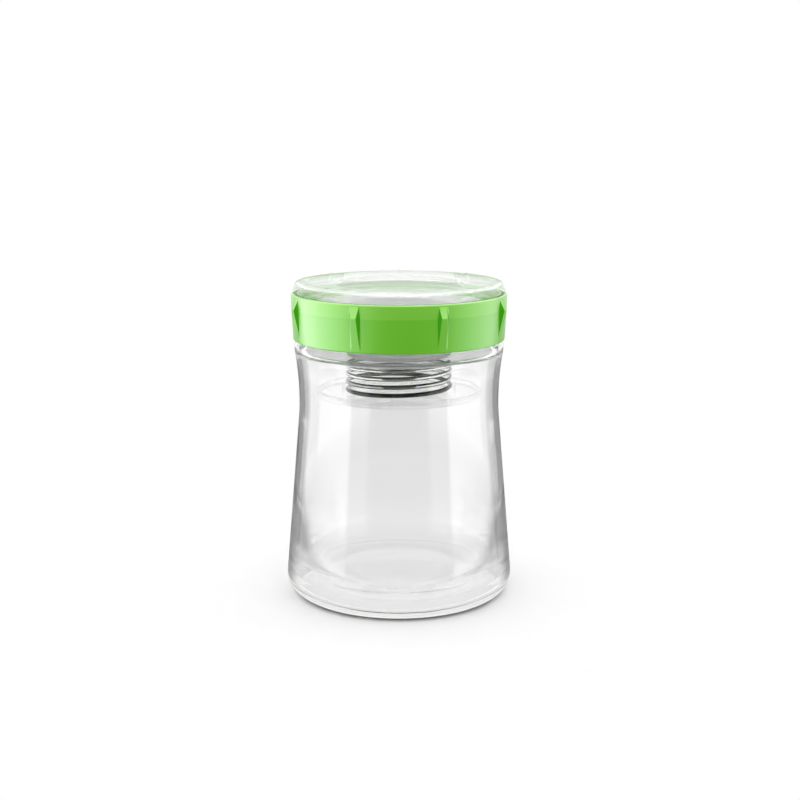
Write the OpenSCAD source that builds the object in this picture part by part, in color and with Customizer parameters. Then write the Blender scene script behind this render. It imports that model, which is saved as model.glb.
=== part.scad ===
// Fermenting jar with a clamped, vented lid and a spring-loaded press plate.
// Millimetres, +Z up. The origin is the centre of the foot, and the front faces -Y.

/* [Jar] */
// Largest diameter of the glass, just above the foot
jar_d = 110; // [100:1:130]
// Height of the glass from the table to the rim
jar_h = 138.4; // [130:0.1:160]
// Height of the shoulder's ledge under the lid ring
shoulder_z = 122.5; // [118:0.1:124]
// Diameter at the waist
waist_d = 96.1; // [94:0.1:100]
// Height of the waist
waist_z = 95.5; // [85:0.1:100]
// Radius of the curve that runs into the waist from below
waist_curve_low = 100; // [60:1:140]
// Radius of the curve that leaves the waist upwards
waist_curve_high = 145; // [120:1:200]
// Radius of the foot's outer corner
foot_corner = 9.5; // [6:0.1:12]
// Width of the flat ring that stands on the table
foot_land = 5; // [4:0.5:12]
// Height of the hollow under the base
push_up = 0.8; // [0.5:0.1:5]
// Width of the slope round that hollow
hollow_slope = 20; // [1:0.5:30]
// Thickness of the base above that hollow
floor_t = 3.7; // [2.5:0.1:10]
// Radius of the inside corner between base and wall
floor_corner = 20; // [10:0.5:24]
// Thickness of the wall above the heel
jar_wall = 2.5; // [2:0.1:5]
// Height below which the wall thickens towards the base
heel_z = 55; // [40:1:70]
// Radius of the curve that the inside follows below that height
heel_curve = 150; // [110:1:200]
// Radius that breaks the edge of the shoulder
shoulder_edge = 1.2; // [0.5:0.1:2]
// Depth of glass under the shoulder's ledge
shoulder_t = 3.4; // [3:0.1:9]
// Outer diameter of the neck
neck_d = 92; // [90:0.1:94]
// Thickness of the glass at the neck
neck_wall = 3.2; // [2.5:0.1:5]
// Radius that breaks both edges of the rim
rim_edge = 0.8; // [0.3:0.1:1.2]

/* [Lug closure] */
// Number of bars on the neck, and of lugs in the ring
lug_count = 4; // [3:1:4]
// Angle that one bar covers
bar_sweep = 44; // [36:1:50]
// Thickness of a bar
bar_h = 2; // [1:0.1:3]
// How far a bar stands out of the neck
bar_proud = 1.6; // [1:0.1:2]
// Angle that one lug covers
lug_sweep = 30; // [20:1:32]
// Thickness of a lug
lug_h = 2.2; // [1.5:0.1:3]
// Height of a lug above the ring's lower edge
lug_rise = 1.3; // [0.5:0.1:3]
// Angle of the stop under the end of each bar
stop_sweep = 5.5; // [3:0.5:5.5]
// How far the stop stands out of the neck
stop_proud = 1.2; // [0.8:0.1:1.4]

/* [Lid ring] */
// Gap that shows between the shoulder and the ring
ring_gap = 2; // [0.5:0.1:4]
// Thickness of the ring's wall at its lower edge
ring_wall = 2.6; // [1.6:0.1:4]
// How much wider the ring is at its crease than at its lower edge
ring_taper = 0.9; // [0:0.1:2]
// Distance of the crease below the ring's top
crease_drop = 6.5; // [4:0.1:10]
// Radius of the ring's upper outer edge
ring_edge = 0.7; // [0.3:0.1:1.5]
// Thickness of the flange that presses the inner lid down
flange_t = 1.8; // [1.2:0.1:2.5]
// How far the flange reaches in over the inner lid
flange_reach = 5; // [3:0.1:8]
// Depth of the recess that takes the cover
cover_recess = 3.6; // [2.5:0.1:6]
// Thickness of the wall round that recess
recess_wall = 3.3; // [2:0.1:4]
// How far the bead under the inner lid reaches in past that lid's edge
bead_hold = 0.5; // [0.2:0.1:0.8]
// Height of the bead
bead_h = 1.4; // [1:0.1:2]
// Number of grip fins
fin_count = 8; // [6:1:12]
// Width of a fin's flat face at its peak
fin_face = 2.7; // [1.5:0.1:4]
// How much wider that face is at its ends, on each side
fin_spread = 0.6; // [0:0.1:1.5]
// Width of a fin's slanted side at its peak, down to its root
fin_slant = 2.4; // [1.5:0.1:4]
// Height of a fin at its peak
fin_proud = 2.1; // [1:0.1:3]
// Distance of a fin's peak below the ring's top
fin_drop = 6.1; // [4:0.1:10]
// Distance of a fin's ends from the ring's edges
fin_end = 0.7; // [0.3:0.1:3]

/* [Inner lid] */
// Thickness of the plate over the mouth
lid_t = 1.6; // [1:0.1:3]
// Depth of the skirt that plugs the mouth
plug_depth = 5.6; // [3:0.1:9]
// Thickness of that skirt
plug_wall = 1.8; // [1:0.1:3]
// Depth of the central cup, from the plate's top to the spring's seat
cup_depth = 26.2; // [20:0.1:40]
// Thickness of the cup
cup_wall = 1.6; // [1:0.1:3]
// How far the spring's seat reaches out past the spring
cup_margin = 0.8; // [0.4:0.1:2]
// Height of the spigot that centres each end of the spring
spigot_h = 2.1; // [1:0.1:3]
// Thickness of that spigot
spigot_wall = 1.3; // [0.8:0.1:2]
// Number of vent holes under the valve
vent_count = 4; // [2:1:8]
// Diameter of a vent hole
vent_d = 1.6; // [1:0.1:2]

/* [Gasket] */
// Thickness of the gasket on the rim
gasket_t = 1.2; // [0.8:0.1:2.5]

/* [Vent valve] */
// Diameter of the valve's umbrella
valve_d = 14; // [12:0.1:20]
// Thickness of the umbrella at its centre
valve_t = 1.6; // [1:0.1:3]
// Thickness of the umbrella's lip
valve_lip = 0.6; // [0.4:0.1:1]
// Diameter of the stem
stem_d = 4; // [3:0.1:5]
// How far the bulb that holds the stem stands out of it
bulb_proud = 0.9; // [0.4:0.1:1.5]
// Height of that bulb
bulb_h = 1.4; // [1:0.1:2]

/* [Spring] */
// Outer diameter of the spring
spring_d = 51.6; // [40:0.1:56]
// Diameter of its wire
wire_d = 2.1; // [1.5:0.1:2.5]
// Height of the spring between its two seats
spring_h = 16.1; // [14:0.1:24]
// Number of turns
spring_turns = 3.5; // [2.5:0.25:4]
// Direction in which the lower end of the wire lies
spring_start = 166.5; // [0:0.5:360]

/* [Press plate] */
// Thickness of the plate
press_t = 1.4; // [1:0.1:3]
// Height of the plate's rim
press_rim_h = 3.3; // [2:0.1:6]
// Thickness of that rim
press_rim_wall = 1.6; // [1:0.1:3]
// Number of guide posts round the spring
post_count = 4; // [3:1:6]
// Width of a post at its root
post_w = 9; // [5:0.1:12]
// How much narrower a post is at its top
post_draft = 3; // [0:0.1:4]
// Height of a post above the plate
post_h = 3.5; // [2:0.1:5]
// Thickness of a post
post_t = 1.3; // [0.8:0.1:2]

/* [Clear cover] */
// Height of the cover above the ring
cover_h = 5.4; // [4:0.1:9]
// How far the cover's wall stands inside the ring's top edge
cover_inset = 0.9; // [0.7:0.1:2]
// How much narrower the cover is at its top
cover_draft = 1.8; // [0:0.1:4]
// Height of the straight foot of the cover's wall
cover_foot = 0.9; // [0.5:0.1:2]
// Thickness of the cover
cover_wall = 1.8; // [1.2:0.1:3]
// Radius of the cover's upper edge
cover_edge = 0.8; // [0.3:0.1:1.2]
// Width of the raised border round the cover's top
cover_border = 4.2; // [2:0.1:8]
// Depth of the step inside that border
border_step = 0.5; // [0.2:0.1:1]
// Diameter of the dish in the middle of the top
dish_d = 60; // [40:1:76]
// Depth of that dish
dish_depth = 1.1; // [0.4:0.1:1.6]
// Thickness of the skirt in the ring's recess
skirt_wall = 1.6; // [1:0.1:2.5]
// Number of ribs on the cover's edge
rib_count = 8; // [4:1:12]
// Width of a rib
rib_w = 1.2; // [0.8:0.1:2]
// How far a rib stands out of the cover
rib_proud = 0.25; // [0.1:0.05:0.5]

/* [Clearances] */
// Gap between the bars and the ring's bore, and between the lugs and the neck
lug_gap = 0.4; // [0.2:0.05:0.8]
// Angle between a locked lug and its stop
stop_play = 0.5; // [0.4:0.1:1]
// Height of the gap between locked lugs and bars
lock_gap = 0.3; // [0.2:0.05:0.5]
// Gap between the inner lid's edge and the ring's bore
lid_gap = 0.6; // [0.3:0.05:1]
// Gap between the plug skirt and the mouth
plug_gap = 0.6; // [0.3:0.05:1]
// Gap between the press plate and the mouth that it passes through
press_gap = 3.4; // [1:0.1:6]
// Gap between the spring and what centres it
spring_gap = 0.4; // [0.3:0.05:1]
// Gap between the spring's ends and their seats
seat_gap = 0.15; // [0.05:0.05:0.3]
// Gap between the cover's skirt and the ring's recess, and under the skirt
cover_gap = 0.3; // [0.2:0.05:0.6]
// Gap between the bead and the inner lid
bead_gap = 0.3; // [0.2:0.05:0.6]
// Gap round the valve's stem
stem_gap = 0.2; // [0.1:0.05:0.4]

/* [Hidden] */
$fn = 128;
// Steps along one drawn arc of an outline
arc_steps = 8;
// How deep an added piece is rooted in the wall that carries it
root = 0.8;
// How deep the ends of a fin's face dip into the ring's wall
fin_dip = 0.25;

jar_r = jar_d / 2;
waist_r = waist_d / 2;
neck_r = neck_d / 2;
mouth_r = neck_r - neck_wall;
spring_r = spring_d / 2;
stem_r = stem_d / 2;

// Heights of the stack above the rim
lid_z = jar_h + gasket_t;
lid_top = lid_z + lid_t;
flange_top = lid_top + flange_t;
ring_top = flange_top + cover_recess;
ring_z = shoulder_z + ring_gap;
crease_z = ring_top - crease_drop;
cover_top = ring_top + cover_h;

// Radii of the closure, worked outwards from the neck
bar_r = neck_r + bar_proud;
ring_bore_r = bar_r + lug_gap;
lug_r = neck_r + lug_gap;
lid_r = ring_bore_r - lid_gap;
bead_r = lid_r - bead_hold;
flange_r = ring_bore_r - flange_reach;
ring_low_r = ring_bore_r + ring_wall;
ring_r = ring_low_r + ring_taper;
recess_r = ring_r - recess_wall;
skirt_r = recess_r - cover_gap;
cover_r = ring_r - cover_inset;
cover_top_r = cover_r - cover_draft;

// Heights of the lugs and the bars
lug_z = ring_z + lug_rise;
bar_z = lug_z + lug_h + lock_gap;
lug_pitch = 360 / lug_count;

// The stop starts just past a locked lug
stop_r = neck_r + stop_proud;
stop_turn = lug_sweep / 2 + stop_play + stop_sweep / 2;

// The spring between its seats, and the plate under it
cup_z = lid_top - cup_depth;
cup_floor_top = cup_z + cup_wall;
cup_r = spring_r + cup_margin;
spigot_r = spring_r - wire_d - spring_gap;
press_top = cup_z - spring_h;
press_z = press_top - press_t;
press_r = mouth_r - press_gap;
post_r = spring_r + spring_gap;

// Points on an arc round centre c with radius r, from angle a to angle b. An arc that goes on from
// the end of another one skips its first point
function arc(c, r, a, b, skip = 0) = [
    for (i = [skip : arc_steps])
        let (t = a + (b - a) * i / arc_steps)
        [c[0] + r * cos(t), c[1] + r * sin(t)]
];

// The wall of the jar is one straight flare, tangent to the foot's corner and to the waist's curve
foot_c = [jar_r - foot_corner, foot_corner];
waist_low_c = [waist_r + waist_curve_low, waist_z];
waist_high_c = [waist_r + waist_curve_high, waist_z];
flare_v = waist_low_c - foot_c;
flare = atan2(flare_v[1], flare_v[0]) - acos((foot_corner + waist_curve_low) / norm(flare_v));

// Angle of the upper waist curve where the shoulder's edge starts, and the radius there
shoulder_turn = asin((shoulder_z - shoulder_edge - waist_z) / waist_curve_high);
shoulder_r = waist_high_c[0] - waist_curve_high * cos(shoulder_turn);

// Inside of the jar: the waist's curves, the flare down to the heel, the heel's curve and the corner
// of the base, each one tangent to the next
floor_z = push_up + floor_t;
inner_high = waist_curve_high + jar_wall;
inner_turn = asin((shoulder_z - shoulder_t - waist_z) / inner_high);
flare_n = [cos(flare), sin(flare)];
wall_in = waist_low_c - (waist_curve_low + jar_wall) * flare_n;
heel_start = wall_in + (wall_in[1] - heel_z) * [tan(flare), -1];
heel_c = heel_start - heel_curve * flare_n;
heel_turn = asin((floor_z + floor_corner - heel_c[1]) / (heel_curve - floor_corner));
floor_c = heel_c + (heel_curve - floor_corner) * [cos(heel_turn), sin(heel_turn)];

// Inner edge of the foot's standing ring, and the flat of the hollow inside it
land_r = foot_c[0] - foot_land;
hollow_r = land_r - hollow_slope;

jar_outline = concat(
    [[0, push_up], [hollow_r, push_up], [land_r, 0]],
    arc(foot_c, foot_corner, -90, flare),
    arc(waist_low_c, waist_curve_low, 180 + flare, 180),
    arc(waist_high_c, waist_curve_high, 180, 180 - shoulder_turn, 1),
    arc([shoulder_r - shoulder_edge, shoulder_z - shoulder_edge], shoulder_edge, 0, 90, 1),
    [[neck_r, shoulder_z]],
    arc([neck_r - rim_edge, jar_h - rim_edge], rim_edge, 0, 90),
    arc([mouth_r + rim_edge, jar_h - rim_edge], rim_edge, 90, 180),
    [[mouth_r, shoulder_z]],
    arc(waist_high_c, inner_high, 180 - inner_turn, 180),
    arc(waist_low_c, waist_curve_low + jar_wall, 180, 180 + flare, 1),
    arc(heel_c, heel_curve, flare, heel_turn),
    arc(floor_c, floor_corner, heel_turn, -90, 1),
    [[0, floor_z]]
);

// A block of the closure: part of a ring from radius a to radius b, centred on the X axis
module sector(a, b, z, h, sweep) {
    rotate([0, 0, -sweep / 2])
        translate([0, 0, z])
            rotate_extrude(angle = sweep)
                translate([a, 0])
                    square([b - a, h]);
}

module glass_jar() {
    color([0.85, 0.89, 0.88, 0.4]) {
        rotate_extrude()
            polygon(jar_outline);
        for (k = [0 : lug_count - 1])
            rotate([0, 0, k * lug_pitch]) {
                sector(neck_r - root, bar_r, bar_z, bar_h, bar_sweep);
                rotate([0, 0, -stop_turn])
                    sector(neck_r - root, stop_r, lug_z, bar_z + bar_h / 2 - lug_z, stop_sweep);
            }
    }
}

module rim_gasket() {
    color([0.92, 0.92, 0.9])
        translate([0, 0, jar_h])
            difference() {
                cylinder(h = gasket_t, r = neck_r);
                translate([0, 0, -gasket_t])
                    cylinder(h = 3 * gasket_t, r = mouth_r);
            }
}

// A spigot inside one end of the spring
module spring_spigot(z, h) {
    translate([0, 0, z])
        rotate_extrude()
            translate([spigot_r - spigot_wall, 0])
                square([spigot_wall, h]);
}

// Distance of the vent holes from the axis, halfway between the stem and the valve's edge
vent_r = (stem_r + valve_d / 2) / 2;

module inner_lid() {
    lid_outline = [
        [0, cup_z],
        [cup_r, cup_z],
        [cup_r, lid_z],
        [mouth_r - plug_gap - plug_wall, lid_z],
        [mouth_r - plug_gap - plug_wall, lid_z - plug_depth],
        [mouth_r - plug_gap, lid_z - plug_depth],
        [mouth_r - plug_gap, lid_z],
        [lid_r, lid_z],
        [lid_r, lid_top],
        [cup_r - cup_wall, lid_top],
        [cup_r - cup_wall, cup_floor_top],
        [0, cup_floor_top]
    ];
    color([0.88, 0.92, 0.9, 0.5])
        difference() {
            union() {
                rotate_extrude()
                    polygon(lid_outline);
                spring_spigot(cup_z - spigot_h, spigot_h + root);
            }
            translate([0, 0, cup_z - cup_wall])
                cylinder(h = 3 * cup_wall, r = stem_r + stem_gap);
            for (k = [0 : vent_count - 1])
                rotate([0, 0, k * 360 / vent_count])
                    translate([vent_r, 0, cup_z - cup_wall])
                        cylinder(h = 3 * cup_wall, d = vent_d);
        }
}

module vent_valve() {
    bulb_r = stem_r + bulb_proud;
    color([0.95, 0.95, 0.93])
        rotate_extrude()
            polygon([
                [0, cup_z - bulb_h],
                [stem_r, cup_z - bulb_h],
                [bulb_r, cup_z],
                [stem_r, cup_z],
                [stem_r, cup_floor_top],
                [valve_d / 2, cup_floor_top],
                [valve_d / 2, cup_floor_top + valve_lip],
                [stem_r, cup_floor_top + valve_t],
                [0, cup_floor_top + valve_t]
            ]);
}

// The spring's wire: rings of points along a right-handed helix
wire_r = wire_d / 2;
coil_r = spring_r - wire_r;
coil_low = press_top + wire_r + seat_gap;
coil_rise = spring_h - wire_d - 2 * seat_gap;
coil_pitch = coil_rise / spring_turns;
coil_slope = atan(coil_pitch / (2 * PI * coil_r));
rings_per_turn = 24;
wire_sides = 6;
coil_rings = ceil(spring_turns * rings_per_turn);

function coil_angle(i) = spring_start + 360 * spring_turns * i / coil_rings;
function coil_point(i) =
    let (a = coil_angle(i))
    [coil_r * cos(a), coil_r * sin(a), coil_low + coil_rise * i / coil_rings];
function wire_point(i, j) =
    let (
        a = coil_angle(i),
        t = 360 * (j + 0.5) / wire_sides,
        side = [cos(a), sin(a), 0],
        up = [sin(coil_slope) * sin(a), -sin(coil_slope) * cos(a), cos(coil_slope)]
    )
    coil_point(i) + wire_r * (cos(t) * side + sin(t) * up);

// The least gap between one turn of the wire and the next, measured between points half a turn
// or more apart
coil_points = [for (i = [0 : coil_rings]) coil_point(i)];
coil_gaps = [
    for (i = [0 : coil_rings])
        for (k = [i + rings_per_turn / 2 : 1 : coil_rings])
            norm(coil_points[k] - coil_points[i]) - wire_d
];
echo("least gap between the spring's turns, mm", min(coil_gaps));

module press_spring() {
    points = [for (i = [0 : coil_rings]) for (j = [0 : wire_sides - 1]) wire_point(i, j)];
    last = coil_rings * wire_sides;
    wall = [
        for (i = [0 : coil_rings - 1])
            for (j = [0 : wire_sides - 1])
                let (
                    a = i * wire_sides + j,
                    b = i * wire_sides + (j + 1) % wire_sides
                )
                each [[a, a + wire_sides, b], [b, a + wire_sides, b + wire_sides]]
    ];
    low_end = [for (j = [1 : wire_sides - 2]) [0, j, j + 1]];
    high_end = [for (j = [1 : wire_sides - 2]) [last, last + j + 1, last + j]];
    color([0.72, 0.73, 0.74])
        polyhedron(points, concat(wall, low_end, high_end));
}

module press_plate() {
    plate_outline = [
        [0, press_z],
        [press_r, press_z],
        [press_r, press_z + press_rim_h],
        [press_r - press_rim_wall, press_z + press_rim_h],
        [press_r - press_rim_wall, press_top],
        [0, press_top]
    ];
    color([0.88, 0.92, 0.9, 0.5]) {
        rotate_extrude()
            polygon(plate_outline);
        spring_spigot(press_top - root, root + spigot_h);
        for (k = [0 : post_count - 1])
            rotate([0, 0, k * 360 / post_count])
                translate([0, -post_r, press_top])
                    rotate([90, 0, 0])
                        linear_extrude(post_t)
                            polygon([
                                [-post_w / 2, -root],
                                [post_w / 2, -root],
                                [(post_w - post_draft) / 2, post_h],
                                [-(post_w - post_draft) / 2, post_h]
                            ]);
    }
}

// One grip fin on the +X side: a flat face that rises to a peak near the crease, with slanted sides
module grip_fin() {
    f = fin_face / 2;
    e = f + fin_spread;
    s = f + fin_slant;
    inner = ring_low_r - root;
    peak_z = ring_top - fin_drop;
    low_z = ring_z + fin_end;
    high_z = ring_top - fin_end;
    points = [
        [ring_low_r - fin_dip, -e, low_z],
        [ring_low_r - fin_dip, e, low_z],
        [ring_r + fin_proud, -f, peak_z],
        [ring_r + fin_proud, f, peak_z],
        [ring_r - fin_dip, -e, high_z],
        [ring_r - fin_dip, e, high_z],
        [inner, -s, peak_z],
        [inner, s, peak_z],
        [inner, -e, low_z],
        [inner, e, low_z],
        [inner, -e, high_z],
        [inner, e, high_z]
    ];
    faces = [
        [0, 2, 1], [1, 2, 3],
        [2, 4, 3], [3, 4, 5],
        [0, 6, 2], [2, 6, 4],
        [1, 3, 7], [3, 5, 7],
        [0, 8, 6], [1, 7, 9],
        [4, 6, 10], [5, 11, 7],
        [0, 1, 8], [1, 9, 8],
        [4, 10, 5], [5, 10, 11],
        [8, 9, 6], [6, 9, 7],
        [6, 7, 10], [10, 7, 11]
    ];
    polyhedron(points, faces);
}

module lid_ring() {
    bead_top = lid_z - bead_gap;
    bead_slope = ring_bore_r - bead_r;
    ring_outline = concat(
        [
            [ring_bore_r, ring_z],
            [ring_low_r, ring_z],
            [ring_r, crease_z]
        ],
        arc([ring_r - ring_edge, ring_top - ring_edge], ring_edge, 0, 90),
        [
            [recess_r, ring_top],
            [recess_r, flange_top],
            [flange_r, flange_top],
            [flange_r, lid_top],
            [ring_bore_r, lid_top],
            [ring_bore_r, bead_top],
            [bead_r, bead_top],
            [bead_r, bead_top - bead_h + bead_slope],
            [ring_bore_r, bead_top - bead_h]
        ]
    );
    color([0.36, 0.8, 0.16]) {
        rotate_extrude()
            polygon(ring_outline);
        for (k = [0 : lug_count - 1])
            rotate([0, 0, (k + 0.5) * lug_pitch])
                sector(lug_r, ring_bore_r + root, lug_z, lug_h, lug_sweep);
        for (k = [0 : fin_count - 1])
            rotate([0, 0, (k + 0.5) * 360 / fin_count])
                grip_fin();
    }
}

module clear_cover() {
    border_r = cover_top_r - cover_border;
    dish_r = dish_d / 2;
    step_z = cover_top - border_step;
    dish_z = step_z - dish_depth;
    under_z = step_z - cover_wall;
    skirt_in = skirt_r - skirt_wall;
    cover_outline = concat(
        [
            [skirt_in, flange_top + cover_gap],
            [skirt_r, flange_top + cover_gap],
            [skirt_r, ring_top],
            [cover_r, ring_top],
            [cover_r, ring_top + cover_foot]
        ],
        arc([cover_top_r - cover_edge, cover_top - cover_edge], cover_edge, 0, 90),
        [
            [border_r, cover_top],
            [border_r, step_z],
            [dish_r, step_z],
            [dish_r, dish_z],
            [0, dish_z],
            [0, dish_z - cover_wall],
            [dish_r + cover_wall, dish_z - cover_wall],
            [dish_r + cover_wall, under_z],
            [skirt_in, under_z]
        ]
    );
    rib_outline = [
        [border_r, step_z],
        [cover_r - root, ring_top + cover_foot],
        [cover_r + rib_proud, ring_top + cover_foot],
        [cover_top_r + rib_proud, cover_top + rib_proud - cover_edge],
        [cover_top_r + rib_proud - cover_edge, cover_top + rib_proud],
        [border_r, cover_top + rib_proud]
    ];
    color([0.9, 0.94, 0.92, 0.4]) {
        rotate_extrude()
            polygon(cover_outline);
        for (k = [0 : rib_count - 1])
            rotate([0, 0, k * 360 / rib_count])
                translate([0, rib_w / 2, 0])
                    rotate([90, 0, 0])
                        linear_extrude(rib_w)
                            polygon(rib_outline);
    }
}

glass_jar();
rim_gasket();
inner_lid();
vent_valve();
press_spring();
press_plate();
lid_ring();
clear_cover();
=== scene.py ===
import math

import bmesh
import bpy
from mathutils import Matrix, Vector
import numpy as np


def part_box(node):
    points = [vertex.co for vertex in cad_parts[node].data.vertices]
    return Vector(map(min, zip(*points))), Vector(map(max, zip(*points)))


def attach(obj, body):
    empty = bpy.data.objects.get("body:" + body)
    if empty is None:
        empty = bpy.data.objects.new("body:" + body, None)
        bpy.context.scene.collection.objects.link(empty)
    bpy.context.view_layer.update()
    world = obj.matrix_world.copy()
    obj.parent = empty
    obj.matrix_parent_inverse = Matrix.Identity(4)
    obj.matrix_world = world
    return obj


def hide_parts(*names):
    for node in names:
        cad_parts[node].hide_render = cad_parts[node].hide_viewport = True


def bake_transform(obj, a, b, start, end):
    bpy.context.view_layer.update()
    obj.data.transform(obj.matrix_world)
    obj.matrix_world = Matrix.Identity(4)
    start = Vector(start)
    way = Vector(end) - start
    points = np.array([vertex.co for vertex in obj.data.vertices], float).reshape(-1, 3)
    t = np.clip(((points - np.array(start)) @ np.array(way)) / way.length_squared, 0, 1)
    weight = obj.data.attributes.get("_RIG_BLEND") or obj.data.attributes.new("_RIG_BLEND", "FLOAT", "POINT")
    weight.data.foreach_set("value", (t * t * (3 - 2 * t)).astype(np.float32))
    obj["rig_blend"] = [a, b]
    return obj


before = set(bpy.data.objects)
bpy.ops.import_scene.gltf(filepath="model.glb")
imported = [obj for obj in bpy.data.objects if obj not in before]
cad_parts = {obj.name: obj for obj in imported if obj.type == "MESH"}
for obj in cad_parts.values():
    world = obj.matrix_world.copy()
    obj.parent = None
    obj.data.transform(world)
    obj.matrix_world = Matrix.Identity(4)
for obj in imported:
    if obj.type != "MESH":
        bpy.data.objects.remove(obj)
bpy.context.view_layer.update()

# Glass jar
# A heavy pressed jar of clear glass, flared down to a thick rounded foot and waisted under the
# shoulder. Its neck carries four bars, each with a stop, for the lugs of the ring to turn under,
# and it stands on a ring that is cut by fine grooves.

MM = 0.001  # the outlines below are in millimetres, the finished meshes in metres


def heights(node):
    """Lowest and highest point of a CAD node, in millimetres."""
    low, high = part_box(node)
    return low[2] / MM, high[2] / MM


class Section:
    """Half of a turned piece's section: a chain of edges, spun about the jar's axis at the end."""

    def __init__(self, r, z, rounding=0):
        self.bm = bmesh.new()
        self.start = self.end = self.bm.verts.new((r, 0, z))
        self.corners = []
        self.round(rounding)

    def round(self, rounding):
        """Give the corner where the chain ends now a radius."""
        if rounding:
            self.corners.append((self.end, rounding))

    def line(self, *points):
        """Go on in straight lines to (r, z) or, for a rounded corner, (r, z, radius)."""
        for r, z, *rounding in points:
            made = bmesh.ops.extrude_vert_indiv(self.bm, verts=[self.end])
            self.end = made["verts"][0]
            self.end.co = (r, 0, z)
            self.round(*rounding or [0])

    def arc(self, centre, angle, steps):
        """Go on round a centre, anticlockwise for a positive angle."""
        made = bmesh.ops.spin(
            self.bm, geom=[self.end], cent=(centre[0], 0, centre[1]), axis=(0, 1, 0),
            angle=-angle, steps=steps,
        )
        self.end = next(v for v in made["geom_last"] if isinstance(v, bmesh.types.BMVert))

    def turned(self, steps):
        """Close the chain unless both its ends lie on the axis, round its corners and spin it."""
        bm = self.bm
        if self.start.co.x or self.end.co.x:
            bm.edges.new((self.end, self.start))
        for corner, radius in self.corners:
            a, b = (edge.other_vert(corner).co - corner.co for edge in corner.link_edges)
            bmesh.ops.bevel(
                bm, geom=[corner], offset=radius / math.tan(a.angle(b) / 2), segments=4,
                profile=0.5, affect="VERTICES", material=-1,
            )
        bmesh.ops.spin(
            bm, geom=bm.verts[:] + bm.edges[:], cent=(0, 0, 0), axis=(0, 0, 1),
            angle=math.tau, steps=steps, use_merge=True,
        )
        bmesh.ops.remove_doubles(bm, verts=bm.verts, dist=1e-4)
        bmesh.ops.recalc_face_normals(bm, faces=bm.faces)
        return bm


def patch(bm, r, z, at, half):
    """Faces whose middles lie between two radii and two heights, within half of an angle."""
    found = []
    for face in bm.faces:
        middle = face.calc_center_median()
        off = math.remainder(math.atan2(middle.y, middle.x) - at, math.tau)
        if r[0] < middle.xy.length < r[1] and z[0] < middle.z < z[1] and abs(off) < half:
            found.append(face)
    return found


def near(value):
    """A narrow range round a radius or a height, to find faces by."""
    return value - 0.1, value + 0.1


def smoothed(piece, sharp=40):
    """Shade a piece smooth, apart from edges sharper than an angle in degrees."""
    piece.data.shade_smooth()
    piece.data.set_sharp_from_angle(angle=math.radians(sharp))
    piece.modifiers.new("even_normals", "WEIGHTED_NORMAL").keep_sharp = True


def shaped(name, bm, *finishes, sharp=40):
    """Make the finished mesh a smooth object with its finishes."""
    bmesh.ops.scale(bm, vec=(MM, MM, MM), verts=bm.verts)
    mesh = bpy.data.meshes.new(name)
    bm.to_mesh(mesh)
    bm.free()
    for finish in finishes:
        mesh.materials.append(finish.material)
    made = bpy.data.objects.new(name, mesh)
    bpy.context.collection.objects.link(made)
    smoothed(made, sharp)
    return made


class Wire:
    """A shader socket that takes Python's arithmetic: each operation adds one Math node."""

    def __init__(self, nodes, socket):
        self.nodes, self.socket = nodes, socket

    def __getitem__(self, output):
        return Wire(self.nodes, self.socket.node.outputs[output])

    def math(self, operation, a, b):
        return self.nodes.add("ShaderNodeMath", {"operation": operation}, {0: a, 1: b})

    def __add__(self, other):
        return self.math("ADD", self, other)

    def __sub__(self, other):
        return self.math("SUBTRACT", self, other)

    def __rsub__(self, other):
        return self.math("SUBTRACT", other, self)

    def __mul__(self, other):
        return self.math("MULTIPLY", self, other)

    __radd__ = __add__
    __rmul__ = __mul__


class Nodes:
    """The nodes of one finish, or of the world."""

    def __init__(self, tree):
        self.tree = tree

    def add(self, kind, settings=None, sockets=None):
        """Add a node, its settings first, then its sockets' values or links; gives its output."""
        node = self.tree.nodes.new(kind)
        for name, value in (settings or {}).items():
            setattr(node, name, value)
        for name, value in (sockets or {}).items():
            self.feed(node.inputs[name], value)
        return Wire(self, node.outputs[0])

    def feed(self, socket, value):
        if isinstance(value, Wire):
            self.tree.links.new(value.socket, socket)
        else:
            socket.default_value = value

    def step(self, value, low, high):
        """0 below low and 1 above high, with a smooth step from one to the other."""
        return self.add(
            "ShaderNodeMapRange", {"interpolation_type": "SMOOTHSTEP"},
            {"Value": value, "From Min": low, "From Max": high},
        )

    def band(self, value, low, full, end, high):
        """0 below low and above high, 1 between full and end, with smooth steps."""
        return self.step(value, low, full) * (1 - self.step(value, end, high))

    def counted(self, value, least=1):
        """1 where a whole number is at least so much, otherwise 0."""
        return self.step(value, least - 0.6, least - 0.4)

    def axis(self, vector, name):
        """The X, Y or Z of a vector."""
        return self.add("ShaderNodeSeparateXYZ", None, {"Vector": vector})[name]

    def length(self, vector):
        return self.add("ShaderNodeVectorMath", {"operation": "LENGTH"}, {0: vector})["Value"]


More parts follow.
